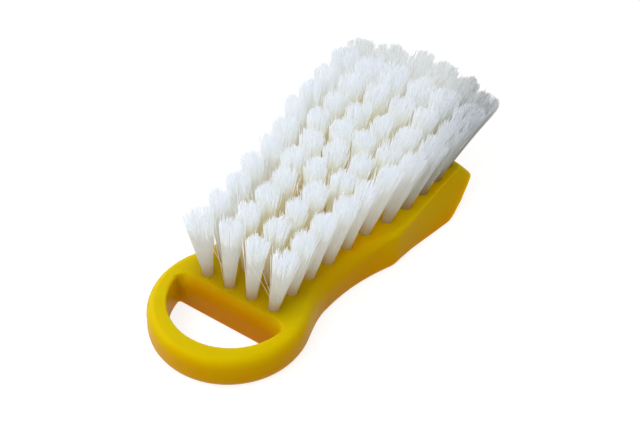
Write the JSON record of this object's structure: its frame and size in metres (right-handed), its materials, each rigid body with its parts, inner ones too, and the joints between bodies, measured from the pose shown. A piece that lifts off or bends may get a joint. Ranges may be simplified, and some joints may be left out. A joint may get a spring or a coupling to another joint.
{
  "type": "nail brush",
  "caption": "Hand-held nail brush with a moulded plastic block, a narrow waist for the grip, a bevelled nose, a D-shaped hanging loop and rows of bristle tufts that fan out toward the nose.",
  "frame": {"origin": "on the flat back of the block, under the middle row of tufts, on the brush's mirror plane", "axes": "+X towards the nose, with the hanging loop at -X; +Z out of the face, the way the bristles point; the brush is mirrored across the XZ plane"},
  "size_m": [0.1489, 0.0624, 0.0383],
  "materials": {
    "block_plastic": "satin, slightly translucent lemon yellow",
    "bristles": "white nylon filaments with a soft sheen",
    "anchor_wire": "drawn flat wire"
  },
  "bodies": {
    "root": {"block": "block_plastic", "tuft_row_01": "bristles", "tuft_row_02": "bristles", "tuft_row_03": "bristles", "tuft_row_04": "bristles", "tuft_row_05": "bristles", "tuft_row_06": "bristles", "tuft_row_07": "bristles", "tuft_row_08": "bristles", "tuft_row_09": "bristles", "tuft_row_10": "bristles", "tuft_row_11": "bristles", "anchor_row_01": "anchor_wire", "anchor_row_02": "anchor_wire", "anchor_row_03": "anchor_wire", "anchor_row_04": "anchor_wire", "anchor_row_05": "anchor_wire", "anchor_row_06": "anchor_wire", "anchor_row_07": "anchor_wire", "anchor_row_08": "anchor_wire", "anchor_row_09": "anchor_wire", "anchor_row_10": "anchor_wire", "anchor_row_11": "anchor_wire"}
  },
  "joints": []
}
